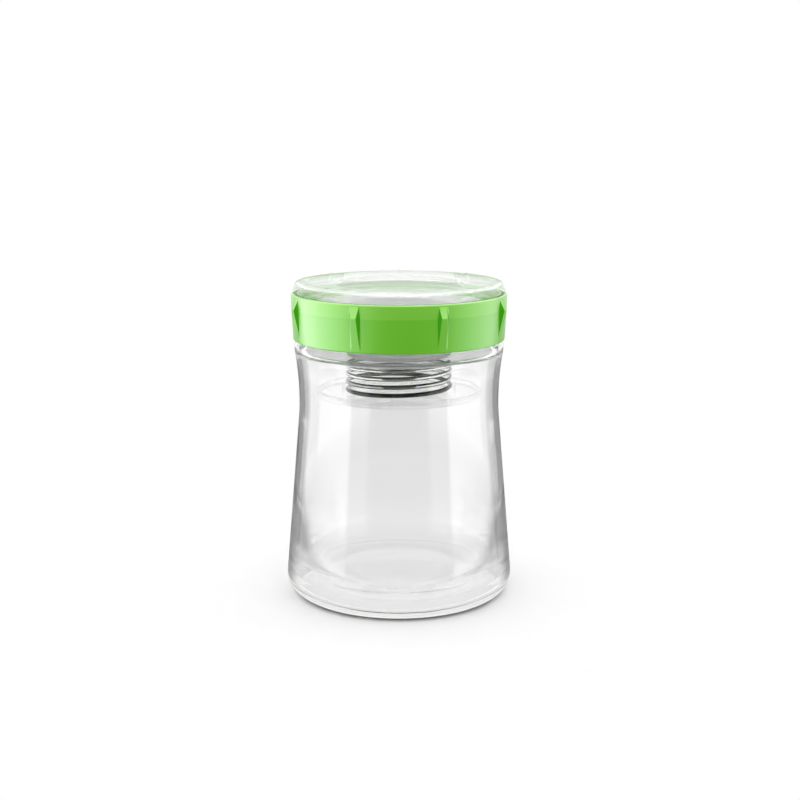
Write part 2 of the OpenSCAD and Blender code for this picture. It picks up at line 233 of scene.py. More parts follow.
class Finish(Nodes):
    """A material with one Principled shader, whose constant values are set on its own sockets."""

    def __init__(self, name, sockets):
        self.material = bpy.data.materials.new(name)
        self.material.use_nodes = True
        super().__init__(self.material.node_tree)
        self.shader = self.tree.nodes["Principled BSDF"]
        self.surface = Wire(self, self.shader.outputs[0])
        self.output = self.tree.nodes["Material Output"]
        self.set(sockets)
        self.place = self.add("ShaderNodeTexCoord")["Object"]

    def set(self, sockets):
        for name, value in sockets.items():
            self.feed(self.shader.inputs[name], value)

    def up(self):
        """The height on the piece, in millimetres."""
        return self.axis(self.place, "Z") * (1 / MM)

    def noise(self, clouds, detail):
        """Cloudy noise from 0 to 1, so many clouds to the metre."""
        return self.add(
            "ShaderNodeTexNoise", None,
            {"Vector": self.place, "Scale": clouds, "Detail": detail, "Roughness": 0.5},
        )

    def roughen(self, clouds, detail, least, spread):
        """Let the roughness wander, as it does on a moulded or drawn surface."""
        self.set({"Roughness": self.noise(clouds, detail) * spread + least})

    def grain(self, clouds, detail, depth):
        """Raise the surface by cloudy noise, to a depth in millimetres."""
        raised = self.add("ShaderNodeBump", None, {
            "Height": self.noise(clouds, detail), "Distance": depth * MM, "Strength": 1.0,
        })
        self.set({"Normal": raised})

    def tint(self, share, a, b):
        """Colour the surface from a to b, by a share from 0 to 1."""
        mixed = self.add(
            "ShaderNodeMix", {"data_type": "RGBA"}, {"Factor": share, "A": a, "B": b}
        )
        self.set({"Base Color": mixed["Result"]})

    def vanish(self, share, surface=None):
        """Show the surface where the share is 0, and nothing where it is 1."""
        self.feed(self.output.inputs["Surface"], self.add("ShaderNodeMixShader", None, {
            0: share, 1: surface or self.surface, 2: self.add("ShaderNodeBsdfTransparent"),
        }))

    def absorb(self, colour, density):
        """Take some of the light that goes through the piece."""
        self.feed(self.output.inputs["Volume"], self.add(
            "ShaderNodeVolumeAbsorption", None, {"Color": colour, "Density": density},
        ))


FOOT_CORNER = 9.5
FOOT_R = 55 - FOOT_CORNER
STAND_R, HOLLOW_R, HOLLOW_Z = 40.5, 20.5, 0.8
WAIST_R, WAIST_Z, WAIST_LOW, WAIST_HIGH = 48.05, 95.5, 100, 145
SHOULDER_Z, NECK_R, MOUTH_R = 122.5, 46, 42.8
JAR_WALL, HEEL_Z, HEEL_CURVE, INNER_SHOULDER = 2.5, 55, 150, 119.1
FLOOR_Z, FLOOR_CORNER = 4.5, 20
BAR_LOW, BAR_TOP, BAR_PROUD, BAR_SLOPE, BAR_HALF = 128.3, 130.3, 1.6, 0.45, math.radians(22)
STOP_LOW, STOP_AT, STOP_HALF = 125.7, math.radians(-18.2), math.radians(2.8)
JAR_STEPS, GROOVE_EVERY, GROOVE = 225, 5, 0.3
rim_z = heights("glass_jar")[1]

# The straight wall is the line that touches the foot's circle and the waist's lower circle.
foot = Vector((FOOT_R, FOOT_CORNER))
low_waist = Vector((WAIST_R + WAIST_LOW, WAIST_Z))
high_waist = Vector((WAIST_R + WAIST_HIGH, WAIST_Z))
reach = low_waist - foot
flare = math.atan2(reach.y, reach.x) - math.acos((FOOT_CORNER + WAIST_LOW) / reach.length)
wall_out = Vector((math.cos(flare), math.sin(flare)))
wall_in = low_waist - wall_out * (WAIST_LOW + JAR_WALL)
heel_start = wall_in + Vector((wall_out.y / wall_out.x, -1)) * (wall_in.y - HEEL_Z)
heel = heel_start - wall_out * HEEL_CURVE
heel_end = math.asin((FLOOR_Z + FLOOR_CORNER - heel.y) / (HEEL_CURVE - FLOOR_CORNER))
to_floor = Vector((math.cos(heel_end), math.sin(heel_end)))
floor_corner = heel + to_floor * (HEEL_CURVE - FLOOR_CORNER)
shoulder_turn = math.asin((SHOULDER_Z - WAIST_Z) / WAIST_HIGH)
inner_high = WAIST_HIGH + JAR_WALL
inner_turn = math.asin((INNER_SHOULDER - WAIST_Z) / inner_high)

jar_outline = Section(0, HOLLOW_Z)
jar_outline.line((HOLLOW_R, HOLLOW_Z, 0.8), (STAND_R, 0, 0.8), (FOOT_R, 0))
jar_outline.arc(foot, math.pi / 2 + flare, 22)
jar_outline.line(low_waist - wall_out * WAIST_LOW)
jar_outline.arc(low_waist, -flare, 6)
jar_outline.arc(high_waist, -shoulder_turn, 9)
jar_outline.round(1.2)
jar_outline.line(
    (NECK_R, SHOULDER_Z, 1.0), (NECK_R, STOP_LOW), (NECK_R, BAR_LOW), (NECK_R, BAR_TOP),
    (NECK_R, rim_z, 0.9), (MOUTH_R, rim_z, 0.9), (MOUTH_R, SHOULDER_Z, 2),
    (high_waist.x - inner_high * math.cos(inner_turn), INNER_SHOULDER),
)
jar_outline.round(2)
jar_outline.arc(high_waist, inner_turn, 7)
jar_outline.arc(low_waist, flare, 6)
jar_outline.line(heel_start)
jar_outline.arc(heel, heel_end - flare, 14)
jar_outline.arc(floor_corner, -math.pi / 2 - heel_end, 16)
jar_outline.line((0, FLOOR_Z))
jar_mesh = jar_outline.turned(JAR_STEPS)

for quarter in range(4):
    middle = quarter * math.pi / 2
    bar = patch(jar_mesh, near(NECK_R), (BAR_LOW, BAR_TOP), middle, BAR_HALF)
    stop = patch(jar_mesh, near(NECK_R), (STOP_LOW, BAR_LOW), middle + STOP_AT, STOP_HALF)
    bmesh.ops.inset_region(
        jar_mesh, faces=bar + stop, thickness=BAR_SLOPE, depth=BAR_PROUD, use_even_offset=True,
        use_boundary=True,
    )
for vert in jar_mesh.verts:
    step = round(math.atan2(vert.co.y, vert.co.x) / math.tau * JAR_STEPS)
    if vert.co.z < GROOVE and vert.co.xy.length > FOOT_R + 0.1 and step % GROOVE_EVERY == 0:
        vert.co.z = GROOVE

# By height, how far the glass lets light straight through, and where shade is painted on it.
UNDER_FOOT, FOOT_CLEAR = (0.85, 0.95), 0.9
HEEL_BAND, HEEL_CLEAR = (8, 14, 20, 60), 0.17
WAIST_RISE, WAIST_CLEAR, NECK_RISE, NECK_CLEAR = (108, 118), 0.1, (119.5, 120), 0.65
EDGE_ON, LOW_EDGE_BAND, PAINTED_SHADE_TINT = (0.55, 0.8), (8.5, 9.5, 25, 50), (0.3, 0.31, 0.3, 1)
SHOULDER_BAND, SHOULDER_SHADE = (118.6, 118.9, 119.4, 119.7), 0.8

glass = Finish("clear_glass", {"Roughness": 0.0, "IOR": 1.5, "Transmission Weight": 1.0})
jar_up = glass.up()
turned_away = glass.add("ShaderNodeLayerWeight", None, {"Blend": 0.5})["Facing"]
edge_on = glass.step(turned_away, *EDGE_ON)
clear_foot = (1 - glass.step(jar_up, *UNDER_FOOT)) * FOOT_CLEAR
clear_heel = glass.band(jar_up, *HEEL_BAND) * (1 - edge_on) * HEEL_CLEAR
clear_waist = glass.step(jar_up, *WAIST_RISE) * WAIST_CLEAR
clear_neck = glass.step(jar_up, *NECK_RISE) * NECK_CLEAR
glass.set({"Alpha": 1 - clear_foot - clear_heel - (clear_waist + clear_neck)})
# Painted shade: the glass is coloured darker on its low edges where they turn away.
painted_low_edge_shade = edge_on * glass.band(jar_up, *LOW_EDGE_BAND)
# Painted shade: a dark line coloured into the glass at its shoulder, not a mark in the glass.
painted_shoulder_shade = glass.band(jar_up, *SHOULDER_BAND) * SHOULDER_SHADE
glass.tint(painted_low_edge_shade + painted_shoulder_shade, (1, 1, 1, 1), PAINTED_SHADE_TINT)
glass.grain(45, 1, 0.12)
glass.absorb((0.74, 0.75, 0.735, 1), 9)

jar = shaped("jar_glass", jar_mesh, glass)
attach(jar, "jar")
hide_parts("glass_jar")

# Rim gasket
# A flat ring of soft white silicone, moulded with rounded edges. It lies on the jar's rim and
# the inner lid presses it down, so that gas leaves only by the valve.

GASKET_IN, GASKET_OUT = 42.9, 45.9
gasket_low, gasket_top = heights("rim_gasket")
gasket_outline = Section(GASKET_IN, gasket_low, 0.35)
gasket_outline.line(
    (GASKET_OUT, gasket_low, 0.35), (GASKET_OUT, gasket_top, 0.35), (GASKET_IN, gasket_top, 0.35)
)

silicone = Finish("silicone", {"Base Color": (0.82, 0.83, 0.8, 1), "IOR": 1.41})
silicone.roughen(900, 3, 0.38, 0.2)
silicone.grain(2400, 2, 0.02)

gasket = shaped("gasket", gasket_outline.turned(160), silicone)
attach(gasket, "inner_lid")
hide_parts("rim_gasket")

# Inner lid
# One clear plastic moulding, frosted on its upper side: a disc that closes the mouth, a skirt that
# centres it in the neck, and a cup whose floor carries the valve, with a spigot below it that holds
# the spring.

LID_R, LID_T = 47.4, 1.6
PLUG_R, PLUG_WALL, PLUG_DEPTH = 42.2, 1.8, 5.6
CUP_R, CUP_WALL = 26.6, 1.6
SPIGOT_R, SPIGOT_WALL, SPIGOT_H = 23.3, 1.3, 2.1
STEM_HOLE, VENT_R, VENT_HALF = 2.2, 4.5, 0.8
LID_STEPS = 160
spigot_low, lid_top = heights("inner_lid")
lid_z = lid_top - LID_T
cup_z = spigot_low + SPIGOT_H
cup_floor = cup_z + CUP_WALL


def border(faces):
    """The edges round a patch of faces."""
    edges = dict.fromkeys(edge for face in faces for edge in face.edges)
    return [edge for edge in edges if not all(face in faces for face in edge.link_faces)]


lid_outline = Section(STEM_HOLE, cup_z, 0.2)
lid_outline.line(
    (VENT_R - VENT_HALF, cup_z), (VENT_R + VENT_HALF, cup_z),
    (SPIGOT_R - SPIGOT_WALL, cup_z, 0.3), (SPIGOT_R - SPIGOT_WALL, spigot_low, 0.4),
    (SPIGOT_R, spigot_low, 0.4), (SPIGOT_R, cup_z, 0.3), (CUP_R, cup_z, 1.0),
    (CUP_R, lid_z, 0.8), (PLUG_R - PLUG_WALL, lid_z, 0.6),
    (PLUG_R - PLUG_WALL, lid_z - PLUG_DEPTH, 0.5), (PLUG_R, lid_z - PLUG_DEPTH, 0.8),
    (PLUG_R, lid_z, 0.3), (LID_R, lid_z, 0.4), (LID_R, lid_top, 0.5),
    (CUP_R - CUP_WALL, lid_top, 0.8), (CUP_R - CUP_WALL, cup_floor, 0.8),
    (VENT_R + VENT_HALF, cup_floor), (VENT_R - VENT_HALF, cup_floor), (STEM_HOLE, cup_floor, 0.2),
)
lid_mesh = lid_outline.turned(LID_STEPS)
for quarter in range(4):
    at = quarter * math.pi / 2
    mouth = (VENT_R - VENT_HALF, VENT_R + VENT_HALF)
    faces = patch(lid_mesh, mouth, (cup_z - 0.1, cup_floor + 0.1), at, VENT_HALF / VENT_R)
    rim = border(faces)
    bmesh.ops.delete(lid_mesh, geom=faces, context="FACES")
    bmesh.ops.bridge_loops(lid_mesh, edges=rim)
bmesh.ops.recalc_face_normals(lid_mesh, faces=lid_mesh.faces)

PLASTIC_BODY, FLOOR_BODY, FLOOR_RISE = 0.3, 0.05, (120, 124)  # shares that bend the light


class ClearPlastic(Finish):
    """Clear moulded plastic, which lets the room's light in to what it covers."""

    def __init__(self, name):
        super().__init__(name, {
            "Base Color": (1, 1, 1, 1), "Roughness": 0.0, "IOR": 1.49,
            "Transmission Weight": 1.0, "Alpha": PLASTIC_BODY,
        })
        self.vanish(self.add("ShaderNodeLightPath")["Is Shadow Ray"])
        self.grain(70, 1, 0.01)
        self.absorb((0.86, 0.88, 0.87, 1), 15)


clear_plastic = ClearPlastic("clear_plastic")
lid_plastic = ClearPlastic("lid_plastic")
above_floor = lid_plastic.step(lid_plastic.up(), *FLOOR_RISE)
lid_plastic.set({"Alpha": above_floor * (PLASTIC_BODY - FLOOR_BODY) + FLOOR_BODY})

frosted = Finish("frosted_plastic", {"Base Color": (0.88, 0.885, 0.88, 1), "IOR": 1.49})
frosted.roughen(800, 2, 0.42, 0.15)
frosted.grain(2600, 2, 0.015)
frosted.vanish(frosted.add("ShaderNodeNewGeometry")["Backfacing"])

for face in lid_mesh.faces:
    middle = face.calc_center_median()
    in_cup = middle.xy.length < CUP_R - CUP_WALL + 0.5 and middle.z > cup_floor - 0.1
    face.material_index = int(in_cup or middle.z > lid_z + 0.5)
inner_lid = shaped("lid_carrier", lid_mesh, lid_plastic, frosted)
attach(inner_lid, "inner_lid")
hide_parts("inner_lid")

# Vent valve
# A small umbrella valve of white silicone. Its stem snaps through the hole in the cup's floor and
# its thin lip lies over the four vents until gas lifts it.

STEM_R, BULB_R, BULB_H, UMBRELLA_R, LIP_T = 2, 2.9, 1.4, 7, 0.6
valve_top = heights("vent_valve")[1]
valve_outline = Section(0, cup_z - BULB_H)
valve_outline.line(
    (STEM_R, cup_z - BULB_H, 0.8), (BULB_R, cup_z, 0.3), (STEM_R, cup_z, 0.15),
    (STEM_R, cup_floor, 0.15), (UMBRELLA_R, cup_floor, 0.2), (UMBRELLA_R, cup_floor + LIP_T, 0.2),
    (STEM_R, valve_top, 1.2), (0, valve_top),
)
valve = shaped("valve", valve_outline.turned(96), silicone)
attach(valve, "inner_lid")
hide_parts("vent_valve")

# Press spring
# A compression spring of bright stainless wire, three and a half open turns. It stands between
# the two spigots and shortens evenly when the press plate comes up.

WIRE_R, SPRING_R, SPRING_H = 1.05, 25.8, 16.1
SPRING_TURNS, SPRING_START = 3.5, math.radians(166.5)
SEAT_GAP, WIRE_SIDES, RINGS = 0.15, 20, 336
coil_r = SPRING_R - WIRE_R
plate_top = cup_z - SPRING_H
coil_low = plate_top + WIRE_R + SEAT_GAP
coil_high = cup_z - WIRE_R - SEAT_GAP
slope = math.atan((coil_high - coil_low) / (SPRING_TURNS * math.tau * coil_r))

spring_mesh = bmesh.new()
section = bmesh.ops.create_circle(spring_mesh, cap_ends=False, segments=WIRE_SIDES, radius=WIRE_R)
place = (
    Matrix.Rotation(SPRING_START, 4, "Z")
    @ Matrix.Translation((coil_r, 0, coil_low))
    @ Matrix.Rotation(math.pi / 2 + slope, 4, "X")
)
bmesh.ops.transform(spring_mesh, matrix=place, verts=section["verts"])
bmesh.ops.spin(
    spring_mesh, geom=spring_mesh.verts[:] + spring_mesh.edges[:], cent=(0, 0, 0), axis=(0, 0, 1),
    dvec=(0, 0, (coil_high - coil_low) / RINGS), angle=SPRING_TURNS * math.tau, steps=RINGS,
)
ends = bmesh.ops.holes_fill(spring_mesh, edges=[e for e in spring_mesh.edges if e.is_boundary])
bmesh.ops.recalc_face_normals(spring_mesh, faces=spring_mesh.faces)
bmesh.ops.bevel(
    spring_mesh, geom=[edge for face in ends["faces"] for edge in face.edges], offset=0.3,
    segments=3, profile=0.5, affect="EDGES", material=-1,
)

# Painted shade: the wire is coloured dark on its lowest turn and along the top and bottom of its section,
# not a colour of the steel.
LOW_TURNS, BRIGHT_TILT = (102.5, 107), (-0.62, -0.45, 0.6, 0.78)
WIRE_PAINTED_SHADE, WIRE_BRIGHT = (0.07, 0.08, 0.065, 1), (0.82, 0.83, 0.81, 1)
steel = Finish("stainless_wire", {"Metallic": 1.0})
tilt = steel.axis(steel.add("ShaderNodeNewGeometry")["Normal"], "Z")
bright = steel.step(steel.up(), *LOW_TURNS) * steel.band(tilt, *BRIGHT_TILT)
steel.tint(bright, WIRE_PAINTED_SHADE, WIRE_BRIGHT)
steel.roughen(700, 3, 0.02, 0.06)
steel.grain(1800, 3, 0.01)

spring = shaped("spring_wire", spring_mesh, steel, sharp=60)
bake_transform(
    spring, "inner_lid", "press",
    start=(0, 0, coil_high * MM), end=(0, 0, coil_low * MM),
)
for vert, share in zip(spring.data.vertices, spring.data.attributes["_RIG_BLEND"].data):
    turned = math.remainder(math.atan2(vert.co.y, vert.co.x) - SPRING_START, math.tau) / math.tau
    rise = (vert.co.z / MM - coil_low) / (coil_high - coil_low) * SPRING_TURNS
    along = (turned + round(rise - turned)) / SPRING_TURNS
    share.value = min(1, max(0, 1 - along))
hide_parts("press_spring")

# Press plate
# A clear plastic disc with a raised rim, which keeps the food under its juice. A spigot holds the
# spring from inside and four small posts hold it from outside.

PRESS_R, PRESS_RIM_H, PRESS_RIM_WALL = 39.4, 3.3, 1.6
POST_IN, POST_OUT, POST_H, POST_HALF, POST_NARROW = 26.2, 27.5, 3.5, math.radians(9.6), 6 / 9
press_z = heights("press_plate")[0]
press_rim = press_z + PRESS_RIM_H

plate_outline = Section(0, press_z)
plate_outline.line(
    (PRESS_R, press_z, 0.7), (PRESS_R, press_rim, 0.6), (PRESS_R - PRESS_RIM_WALL, press_rim, 0.6),
    (PRESS_R - PRESS_RIM_WALL, plate_top, 0.6), (POST_OUT, plate_top), (POST_IN, plate_top),
    (SPIGOT_R, plate_top, 0.3), (SPIGOT_R, plate_top + SPIGOT_H, 0.4),
    (SPIGOT_R - SPIGOT_WALL, plate_top + SPIGOT_H, 0.4), (SPIGOT_R - SPIGOT_WALL, plate_top, 0.3),
    (0, plate_top),
)
plate_mesh = plate_outline.turned(LID_STEPS)
for quarter in range(4):
    at = quarter * math.pi / 2
    foot_faces = patch(plate_mesh, (POST_IN, POST_OUT), near(plate_top), at, POST_HALF)
    raised = bmesh.ops.extrude_face_region(plate_mesh, geom=foot_faces)["geom"]
    top_verts = [v for v in raised if isinstance(v, bmesh.types.BMVert)]
    bmesh.ops.translate(plate_mesh, vec=(0, 0, POST_H), verts=top_verts)
    bmesh.ops.scale(
        plate_mesh, vec=(1, POST_NARROW, 1), space=Matrix.Rotation(-at, 4, "Z"), verts=top_verts
    )
    top_faces = [f for f in raised if isinstance(f, bmesh.types.BMFace)]
    bmesh.ops.bevel(
        plate_mesh, geom=border(top_faces), offset=0.3, segments=2, profile=0.5, affect="EDGES",
        material=-1,
    )
press_plate = shaped("press_disc", plate_mesh, clear_plastic)
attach(press_plate, "press")
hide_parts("press_plate")

# Lid ring
# A satin ring of lime-green plastic with eight kite-shaped grip fins. A bead inside it holds the
# inner lid, four lugs turn under the bars of the neck, and the cover sits in its top.

RING_LOW_R, RING_R, RING_BORE, RING_FLANGE, RECESS_R = 50.6, 51.5, 48.0, 43.0, 48.2
CREASE_DROP, FLANGE_TOP, RING_STEPS = 6.5, 143.0, 240
BEAD_R, BEAD_H, BEAD_GAP = 46.9, 1.4, 0.3
LUG_R, LUG_LOW, LUG_TOP, LUG_SLOPE, LUG_HALF = 46.4, 125.8, 128.0, 0.35, math.radians(15)
FIN_FACE, FIN_SPREAD, FIN_FOOT, FIN_CORE = 1.35, 1.95, 3.9, 1.2
FIN_PROUD, FIN_DROP, FIN_END, FIN_DIP, FIN_SIDE = 2.1, 6.1, 0.7, 0.25, 0.72
ring_z, ring_top = heights("lid_ring")
bead_top = lid_z - BEAD_GAP
crease_z = ring_top - CREASE_DROP

ring_outline = Section(RING_BORE, ring_z, 0.4)
ring_outline.line(
    (RING_LOW_R, ring_z, 0.7), (RING_R, crease_z), (RING_R, ring_top, 0.7),
    (RECESS_R, ring_top, 0.4), (RECESS_R, FLANGE_TOP, 0.4), (RING_FLANGE, FLANGE_TOP, 0.4),
    (RING_FLANGE, lid_top, 0.4), (RING_BORE, lid_top, 0.3), (RING_BORE, bead_top, 0.2),
    (BEAD_R, bead_top, 0.12), (BEAD_R, bead_top - BEAD_H + RING_BORE - BEAD_R, 0.12),
    (RING_BORE, bead_top - BEAD_H), (RING_BORE, LUG_TOP), (RING_BORE, LUG_LOW),
)
ring_mesh = ring_outline.turned(RING_STEPS)
for quarter in range(4):
    lug = patch(
        ring_mesh, near(RING_BORE), (LUG_LOW, LUG_TOP), (quarter + 0.5) * math.pi / 2, LUG_HALF
    )
    bmesh.ops.inset_region(
        ring_mesh, faces=lug, thickness=LUG_SLOPE, depth=RING_BORE - LUG_R, use_even_offset=True,
        use_boundary=True,
    )

fin_mesh = bmesh.new()
fin_low, fin_peak, fin_high = ring_z + FIN_END, ring_top - FIN_DROP, ring_top - FIN_END
fin_core = RING_LOW_R - FIN_CORE
for side in (-1, 1):
    for corner in (
        (RING_LOW_R - FIN_DIP, side * FIN_SPREAD, fin_low),
        (RING_R + FIN_PROUD, side * FIN_FACE, fin_peak),
        (RING_R - FIN_DIP, side * FIN_SPREAD, fin_high),
        (fin_core, side * FIN_SPREAD, fin_low),
        (fin_core, side * FIN_FOOT, fin_peak),
        (fin_core, side * FIN_SPREAD, fin_high),
    ):
        fin_mesh.verts.new(corner)
bmesh.ops.convex_hull(fin_mesh, input=fin_mesh.verts)
bmesh.ops.dissolve_limit(
    fin_mesh, angle_limit=math.radians(1), verts=fin_mesh.verts, edges=fin_mesh.edges
)
bmesh.ops.recalc_face_normals(fin_mesh, faces=fin_mesh.faces)
bmesh.ops.bevel(
    fin_mesh, geom=fin_mesh.edges[:], offset=0.15, segments=3, profile=0.5, affect="EDGES",
    material=-1,
)
# The fins' side faces take a darker copy of the green: painted shade.
for face in fin_mesh.faces:
    face.material_index = int(abs(face.normal.y) > FIN_SIDE)
fin_geom = fin_mesh.verts[:] + fin_mesh.edges[:] + fin_mesh.faces[:]
bmesh.ops.rotate(
    fin_mesh, cent=(0, 0, 0), matrix=Matrix.Rotation(math.pi / 8, 3, "Z"), verts=fin_mesh.verts
)
for eighth in range(1, 8):
    copied = bmesh.ops.duplicate(fin_mesh, geom=fin_geom)["geom"]
    bmesh.ops.rotate(
        fin_mesh, cent=(0, 0, 0), matrix=Matrix.Rotation(eighth * math.pi / 4, 3, "Z"),
        verts=[v for v in copied if isinstance(v, bmesh.types.BMVert)],
    )
bmesh.ops.recalc_face_normals(fin_mesh, faces=fin_mesh.faces)

GREEN_LOW, GREEN_PAINTED_LIGHT = (0.14, 0.55, 0.003, 1), (0.185, 0.6, 0.022, 1)
CREASE_SOFT = 0.4
green = Finish("green_plastic", {
    "IOR": 1.5, "Coat Weight": 0.8, "Coat Roughness": 0.3, "Coat IOR": 1.5,
})
# Painted light: the band above the crease is coloured a lighter green, as if more light fell on it.
painted_light_over_crease = green.step(green.up(), crease_z - CREASE_SOFT, crease_z + CREASE_SOFT)
green.tint(painted_light_over_crease, GREEN_LOW, GREEN_PAINTED_LIGHT)
# A copy of the green for the fins' sides: its darker colour is painted shade, and its finish is rougher with
# less gloss.
green_painted_shade = Finish("green_plastic_painted_shade", {
    "Base Color": (0.045, 0.36, 0.002, 1), "IOR": 1.5, "Specular IOR Level": 0.1,
})
for finish, least in ((green, 0.28), (green_painted_shade, 0.55)):
    finish.roughen(500, 3, least, 0.1)
    finish.grain(3500, 2, 0.012)

ring = shaped("green_ring", ring_mesh, green, green_painted_shade)
fins = shaped("grip_fins", fin_mesh, green, green_painted_shade)
ring.modifiers.clear()
union = ring.modifiers.new("fins_on", "BOOLEAN")
union.operation, union.solver, union.object = "UNION", "EXACT", fins
bpy.context.view_layer.update()
ring.data = bpy.data.meshes.new_from_object(
    ring.evaluated_get(bpy.context.evaluated_depsgraph_get())
)
ring.modifiers.clear()
bpy.data.objects.remove(fins)
smoothed(ring)
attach(ring, "ring")
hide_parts("lid_ring")

# Clear cover
# A clear plastic cap with a sunken disc in its top and eight fine ribs over its edge. Its skirt
# slips into the ring's top, and it lifts off to get at the valve.

COVER_R, COVER_TOP_R, COVER_FOOT, COVER_EDGE, COVER_T = 50.6, 48.8, 0.9, 0.8, 1.8
BORDER_W, BORDER_STEP, DISH_R, DISH_DEPTH = 4.2, 0.5, 30, 1.1
SKIRT_R, SKIRT_WALL, RIB_PROUD, RIB_SLOPE, COVER_STEPS = 47.9, 1.6, 0.25, 0.15, 240
skirt_low, rib_top = heights("clear_cover")
cover_top = rib_top - RIB_PROUD
border_r = COVER_TOP_R - BORDER_W
step_z = cover_top - BORDER_STEP
dish_z = step_z - DISH_DEPTH
under_z = step_z - COVER_T

cover_outline = Section(SKIRT_R - SKIRT_WALL, skirt_low, 0.5)
cover_outline.line(
    (SKIRT_R, skirt_low, 0.5), (SKIRT_R, ring_top, 0.2), (COVER_R, ring_top, 0.3),
    (COVER_R, ring_top + COVER_FOOT, 0.4), (COVER_TOP_R, cover_top, COVER_EDGE),
    (border_r, cover_top, 0.4), (border_r, step_z, 0.3), (DISH_R, step_z, 0.5),
    (DISH_R, dish_z, 0.8), (0, dish_z), (0, dish_z - COVER_T),
    (DISH_R + COVER_T, dish_z - COVER_T, 0.8), (DISH_R + COVER_T, under_z, 0.5),
    (SKIRT_R - SKIRT_WALL, under_z, 1.0),
)
cover_mesh = cover_outline.turned(COVER_STEPS)
bmesh.ops.rotate(
    cover_mesh, cent=(0, 0, 0), matrix=Matrix.Rotation(math.pi / COVER_STEPS, 3, "Z"),
    verts=cover_mesh.verts,
)
for eighth in range(8):
    rib = patch(
        cover_mesh, (border_r + 0.5, COVER_R + 1), (ring_top + COVER_FOOT, cover_top + 1),
        eighth * math.pi / 4, math.pi / COVER_STEPS * 1.2,
    )
    bmesh.ops.inset_region(
        cover_mesh, faces=rib, thickness=RIB_SLOPE, depth=RIB_PROUD, use_even_offset=True,
        use_boundary=True,
    )

EDGE_BODY, EDGE_DROP, EDGE_BACK = 0.65, (1.1, 0.8), (0.9, 0.6)
cover_plastic = ClearPlastic("cover_plastic")
across = {name: cover_plastic.axis(cover_plastic.place, name) for name in "XY"}
cover_r = cover_plastic.length(cover_plastic.add("ShaderNodeCombineXYZ", None, across)) * (1 / MM)
at_edge = cover_plastic.step(cover_plastic.up(), *(cover_top - drop for drop in EDGE_DROP))
at_edge = at_edge * cover_plastic.step(cover_r, *(COVER_TOP_R - back for back in EDGE_BACK))
cover_plastic.set({"Alpha": at_edge * (EDGE_BODY - PLASTIC_BODY) + PLASTIC_BODY})

cover = shaped("cover_cap", cover_mesh, cover_plastic)
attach(cover, "cover")
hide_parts("clear_cover")

# Camera
# A little above the lid and looking slightly down, with the whole jar in the middle of the frame.
# Its distance and its lens follow from how round the foot and the lid look.

camera_data = bpy.data.cameras.new("camera")
camera_data.lens, camera_data.sensor_width = 62.1, 36
camera = bpy.data.objects.new("camera", camera_data)
camera.location = (0.0005, -0.656, 0.224)
camera.rotation_euler = (math.radians(90 - 11.2), 0, 0)
bpy.context.collection.objects.link(camera)
bpy.context.scene.camera = camera

# Floor and studio light
# A small white table top in an even white room. Two tall soft boxes stand at the sides, where the
# glass, the wire and the satin ring mirror them, a bright strip hangs behind, above the cover, and
# the room in front is dark.

TABLE_R, TABLE_FADE, TABLE_GLOW, GLOW_SHADOW_EDGE = 0.16, 0.09, 0.14, (0.047, 0.056)
PAPER, PAINTED_CONTACT_SHADOW, CONTACT_SHADOW_EDGE = (0.9, 0.9, 0.9, 1), (0.2, 0.2, 0.2, 1), (0.0475, 0.053)
TABLE_WHITE, TABLE_FAR_LIGHT, FAR_EDGE = 0.91, 0.2, (0.05, 0.08)

table_mesh = bmesh.new()
bmesh.ops.create_circle(table_mesh, cap_ends=True, segments=96, radius=TABLE_R / MM)
paper = Finish("white_table", {"Roughness": 0.9, "Specular IOR Level": 0.0})
rays = paper.add("ShaderNodeLightPath")
from_axis = paper.length(paper.place)
# A painted contact shadow: the table is coloured dark round the jar's foot, and its glow is cut under the
# foot.
paper.tint(paper.step(from_axis, *CONTACT_SHADOW_EDGE), PAINTED_CONTACT_SHADOW, PAPER)
glow = paper.add("ShaderNodeEmission", None, {
    "Color": (1, 1, 1, 1),
    "Strength": rays["Is Camera Ray"] * paper.step(from_axis, *GLOW_SHADOW_EDGE) * TABLE_GLOW,
})
far = paper.step(from_axis, *FAR_EDGE) * paper.counted(rays["Glossy Depth"])
plain_white = paper.add("ShaderNodeEmission", None, {
    "Color": (1, 1, 1, 1), "Strength": TABLE_WHITE + far * (TABLE_FAR_LIGHT - TABLE_WHITE),
})
looked_through = rays["Is Glossy Ray"] + rays["Is Transmission Ray"] + rays["Transparent Depth"]
table_seen = paper.add("ShaderNodeMixShader", None, {
    0: paper.counted(looked_through), 1: paper.surface, 2: plain_white,
})
table_lit = paper.add("ShaderNodeAddShader", None, {0: table_seen, 1: glow})
paper.vanish(paper.step(from_axis, TABLE_FADE, TABLE_R), table_lit)
table = shaped("table_top", table_mesh, paper)

# What lights plain surfaces, and what is seen straight through the glass. A rise is where a smooth
# step begins and ends, and a band is where it starts, is full, ends and is gone. Sides, panels and
# boxes are in degrees round the jar, all else in the sine of the height.
ROOM_LIGHT, ROOM_TOP, ROOM_RISE, ROOM_FRONT, ROOM_SIDE = 0.85, 1.1, (0.2, 0.7), 0.75, (-75, 75)
THROUGH_LOW, THROUGH_HIGH, THROUGH_RISE = 0.86, 0.95, (-0.12, 0.0)

